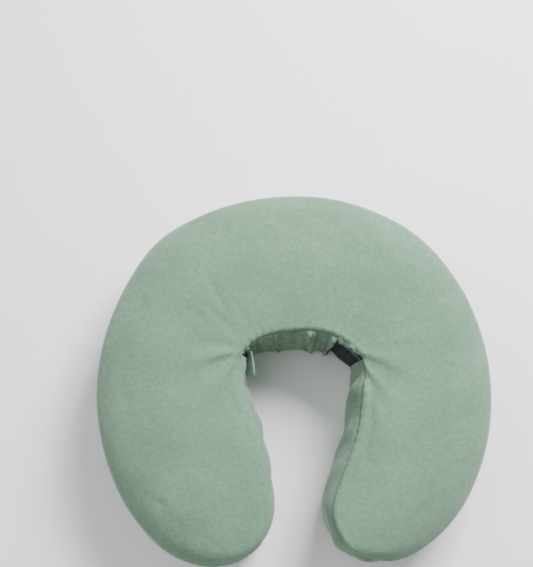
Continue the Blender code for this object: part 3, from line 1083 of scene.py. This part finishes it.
def hem(name, elastic_name, first, last, turn_under, step, shift, flats):
    """A casing folded over its elastic, the elastic inside it, and its row of stitches."""
    walked = np.linspace(first, last, int((last - first) / step) + 1)
    shift = shift(walked)
    bend = np.linspace(-math.pi / 2, math.pi / 2, 7)
    middle, half = HEM_HIGH / 2, HEM_HIGH / 2 - HEM_LAYER / 2
    insets = [*np.linspace(FOOT, turn_under - half, 7)]
    heights = [HEM_LAYER / 2] * 7
    insets += [turn_under - half + half * math.cos(a) for a in bend[1:-1]]
    heights += [middle + half * math.sin(a) for a in bend[1:-1]]
    insets += [*np.linspace(turn_under - half, turn_under - HEM_FOLD, 7)]
    heights += [HEM_HIGH - HEM_LAYER / 2] * 7
    stations, rows = hem_grid(walked, insets[::-1], heights[::-1], shift)
    ways = np.repeat(np.arange(len(rows))[:, None] * MM, len(walked), axis=1)
    casing = sheet_strip("flannel_" + name, rows, stations, ways, HEM_LAYER, SAGE_FLANNEL)
    declare(casing, name, "sage_flannel", "cover", flats[0])
    end = turn_under - HEM_LAYER - 0.8 * MM
    insets = np.linspace(end - ELASTIC_WIDTH + MM, end, 7)
    stations, rows = hem_grid(walked, insets[::-1], [middle + 0.5 * ELASTIC_THICK] * 7, shift)
    ways = np.repeat(insets[::-1, None], len(walked), axis=1)
    band = sheet_strip(
        "braided_" + elastic_name, rows, stations, ways, ELASTIC_THICK, WHITE_ELASTIC
    )
    declare(band, elastic_name, "elastic", "cover", flats[1])
    stitch_line = turn_under - HEM_FOLD + 1.6 * MM
    _, row = hem_grid(walked, [stitch_line], [FLOOR_GAP], shift)
    up = np.tile([0.0, 0.0, -1.0], (len(walked), 1))
    stitches(name + "_stitches", row[0], up, 3 * MM, SAGE_THREAD, "cover")


hem(
    "hem_casing",
    "hem_elastic",
    SKIRT_START,
    SKIRT_END,
    HEM_TURN,
    1.6 * MM,
    lambda walked: np.zeros(len(walked)),
    ((1.32, 0.032), (1.05, ELASTIC_WIDTH)),
)


# ---- Cover: arch band, its hem and elastic -----------------------------------------------------
# A short separate strip lines the arch between the two inner corners. Its own elastic pulls the
# lower edge straight across the hollow of the arch, away from the wall, and draws the cloth into
# deep upright puckers.

ARCH_TURN = 17 * MM
ARCH_PULL = 6 * MM  # how far the lower edge stands off the wall at the middle
ARCH_CRIMP = 1.9 * MM  # upright folds, with sharp crests and flat valleys
ARCH_FINE = 0.7 * MM  # fine pleats between them
ARCH_DIMPLE = 1.5 * MM  # and uneven dimples over both
ARCH_EDGE_FOLD = 2.4 * MM  # the band's right end is folded under, so it stands up


def arch_pull(walked):
    """How far the band's lower edge stands off the wall, less towards its ends."""
    share = np.clip((walked - ARCH_RIGHT) / (ARCH_LEFT - ARCH_RIGHT), 0, 1)
    return ARCH_PULL * np.sin(math.pi * (0.2 + 0.8 * share)) ** 0.8


walked, stations, ways, grid = side_strip(ARCH_RIGHT, ARCH_LEFT, 0.7 * MM)
drop = np.linspace(1, 0, len(grid))
below = at_station(SEAM_WAY, stations) - ways
crimp = np.stack([ripple(walked, 19 * MM, 31.0, 0.25 * d) for d in drop])
fine = np.stack([ripple(walked, 6 * MM, 32.0, 0.3 * d) for d in drop])
fade = ease((below / MM) / 6) * (1 - 0.6 * drop[:, None])
crimp = 2 * np.exp(-1.6 * (1 - crimp)) - 0.5
stand = fade * (ARCH_CRIMP * crimp + ARCH_FINE * fine)
stand -= 0.4 * MM * np.exp(-((below / (2.5 * MM)) ** 2))
dimples = lumps(grid.reshape(-1, 3), 9 * MM, 51.0).reshape(stand.shape)
stand += ARCH_DIMPLE * fade * dimples
edge_fold = np.exp(-(((walked - ARCH_RIGHT - 2.2 * MM) / (2.2 * MM)) ** 2))
stand += ARCH_EDGE_FOLD * edge_fold * ease((below / MM - 2) / 4)
stand += arch_pull(walked) * ease(drop * 1.15)[:, None]
grid = grid + directions(grid) * stand[..., None]
grid[..., 2] = np.maximum(grid[..., 2], LOWEST)
grid, ways = tucked(grid, ways)
arch_band = sheet_strip("flannel_arch_band", grid, stations, ways, FLANNEL, SAGE_FLANNEL)
declare(arch_band, "cover_arch_band", "sage_flannel", "cover", (0.105, 0.085))
hem(
    "arch_hem",
    "arch_elastic",
    ARCH_RIGHT,
    ARCH_LEFT,
    ARCH_TURN,
    0.8 * MM,
    arch_pull,
    ((0.105, 0.028), (0.075, ELASTIC_WIDTH)),
)


# ---- Cover: seam allowance over the open corner ------------------------------------------------
# Skirt and arch band stop short of each other at the right inner corner. Between their ends the
# top panel's seam allowance hangs down bare, with a frayed edge, and the knit shows below it.

walked = np.linspace(SKIRT_END + 1.5 * MM, ARCH_RIGHT + 3 * MM, 104)
stations = np.array([station_at(w) for w in walked])
start = at_station(SEAM_WAY, stations)
reach = np.array([4.6 + 5 * noise.noise(Vector((w / (4.2 * MM), 41, 0))) for w in walked])
share = (walked - walked[0]) / (walked[-1] - walked[0])
reach = (1.2 + reach * (0.8 + 0.8 * share) * ease(share * 6) * ease(6 - share * 6)) * MM
ways = np.stack([start - reach * v + 1.5 * MM * (1 - v) for v in np.linspace(1, 0, 7)])
grid, out = skin(stations, ways, 0.4 * MM)
wave = np.stack([ripple(walked, 6 * MM, 42.0, 0.3 * v) for v in np.linspace(1, 0, 7)])
lift = 0.8 * MM * (1 + wave) * np.linspace(1, 0, 7)[:, None] ** 1.5
grid = grid + out * lift[..., None]
allowance = sheet_strip("seam_allowance", grid, stations, ways, 0.8 * MM, SAGE_FLANNEL)
declare(allowance, None, "sage_flannel", "cover", (0.029, 0.011))


# ---- Cover: loose end of the band --------------------------------------------------------------
# At the left inner corner the band was cut long, and its end hangs free in the face opening: two
# layers of flannel folded over each other, held by a few stitches along the upright fold.

low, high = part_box("band_tab")
tab_length = high.y - low.y
tab_rise = high.z - low.z
TAB_LEAN = 9 * MM  # its upper edge hangs this much further into the opening
TAB_CURL = 1.1 * MM
ROWS, COLUMNS = 15, 22
grid = np.empty((ROWS, COLUMNS, 3))
for i in range(ROWS):
    for j in range(COLUMNS):
        v, u = i / (ROWS - 1), j / (COLUMNS - 1)  # up from its lower edge, out from its root
        corner = max(0.0, u - 0.86) / 0.14
        v_in = (v - 0.5) * (1 - 0.16 * corner**2) + 0.5
        curl = TAB_CURL * math.sin(2.2 * u + 2.6 * v) * u
        x = low.x + 0.6 * MM + TAB_LEAN * (0.6 + 0.4 * u) * v_in + curl
        y = high.y + 0.5 * MM - 0.92 * tab_length * u * (1 - 0.03 * math.sin(math.pi * v))
        grid[i, j] = (x, y, low.z + tab_rise * v_in)
tab = new_piece("flannel_band_end", grid, grid_faces(ROWS, COLUMNS), SAGE_FLANNEL)
apply_modifier(tab, "SOLIDIFY", thickness=1.5 * MM, offset=0)
apply_modifier(tab, "BEVEL", width=0.45 * MM, segments=2, limit_method="ANGLE")
apply_modifier(tab, "SUBSURF", levels=1, render_levels=1)
declare(tab, "band_tab", "sage_flannel", "band_end", (0.022, 0.0155))


# ---- Floor, lights and camera ------------------------------------------------------------------
# A pale seamless floor, a large soft light over the crown's right shoulder, a weak one opposite,
# and an even pale surround.

bpy.ops.mesh.primitive_plane_add(size=6, location=(0, 0, -0.0005))
floor = bpy.context.object
floor.name = "floor"
paper, tree, shader, place = new_material("matt_white_paper", 0.9)
paint(tree, shader, mottle(tree, place, 12.0), "#f4f4f3", "#fafafa")
floor.data.materials.append(paper)

LIGHTS = (
    ("key", (0.42, 0.65, 0.84), 0.5, 31),
    ("fill", (-0.7, 0.1, 1.3), 1.2, 8),
)
for name, spot, size, power in LIGHTS:
    lamp = bpy.data.lights.new(name, "AREA")
    lamp.size = size
    lamp.energy = power
    stand = bpy.data.objects.new(name, lamp)
    stand.location = spot
    aim = Vector((0, 0, 0.05)) - Vector(spot)
    stand.rotation_euler = aim.to_track_quat("-Z", "Y").to_euler()
    bpy.context.scene.collection.objects.link(stand)

surround = bpy.data.worlds.new("pale_surround")
surround.use_nodes = True
surround.node_tree.nodes["Background"].inputs["Color"].default_value = (1, 1, 1, 1)
surround.node_tree.nodes["Background"].inputs["Strength"].default_value = 0.45
bpy.context.scene.world = surround

CAMERA_AT = Vector((-0.030, -0.060, 0.950))
CAMERA_AIM = Vector((-0.0193, 0.0747, 0.060))
CAMERA_ROLL = math.radians(-1.8)
camera = bpy.data.cameras.new("camera")
camera.lens = 71
eye = bpy.data.objects.new("camera", camera)
back = (CAMERA_AT - CAMERA_AIM).normalized()
right = Vector((0, 1, 0)).cross(back).normalized()
up = back.cross(right)
turned = right * math.cos(CAMERA_ROLL) + up * math.sin(CAMERA_ROLL)
eye.matrix_world = Matrix.Translation(CAMERA_AT) @ Matrix(
    (turned, back.cross(turned), back)
).transposed().to_4x4()
bpy.context.scene.collection.objects.link(eye)
bpy.context.scene.camera = eye
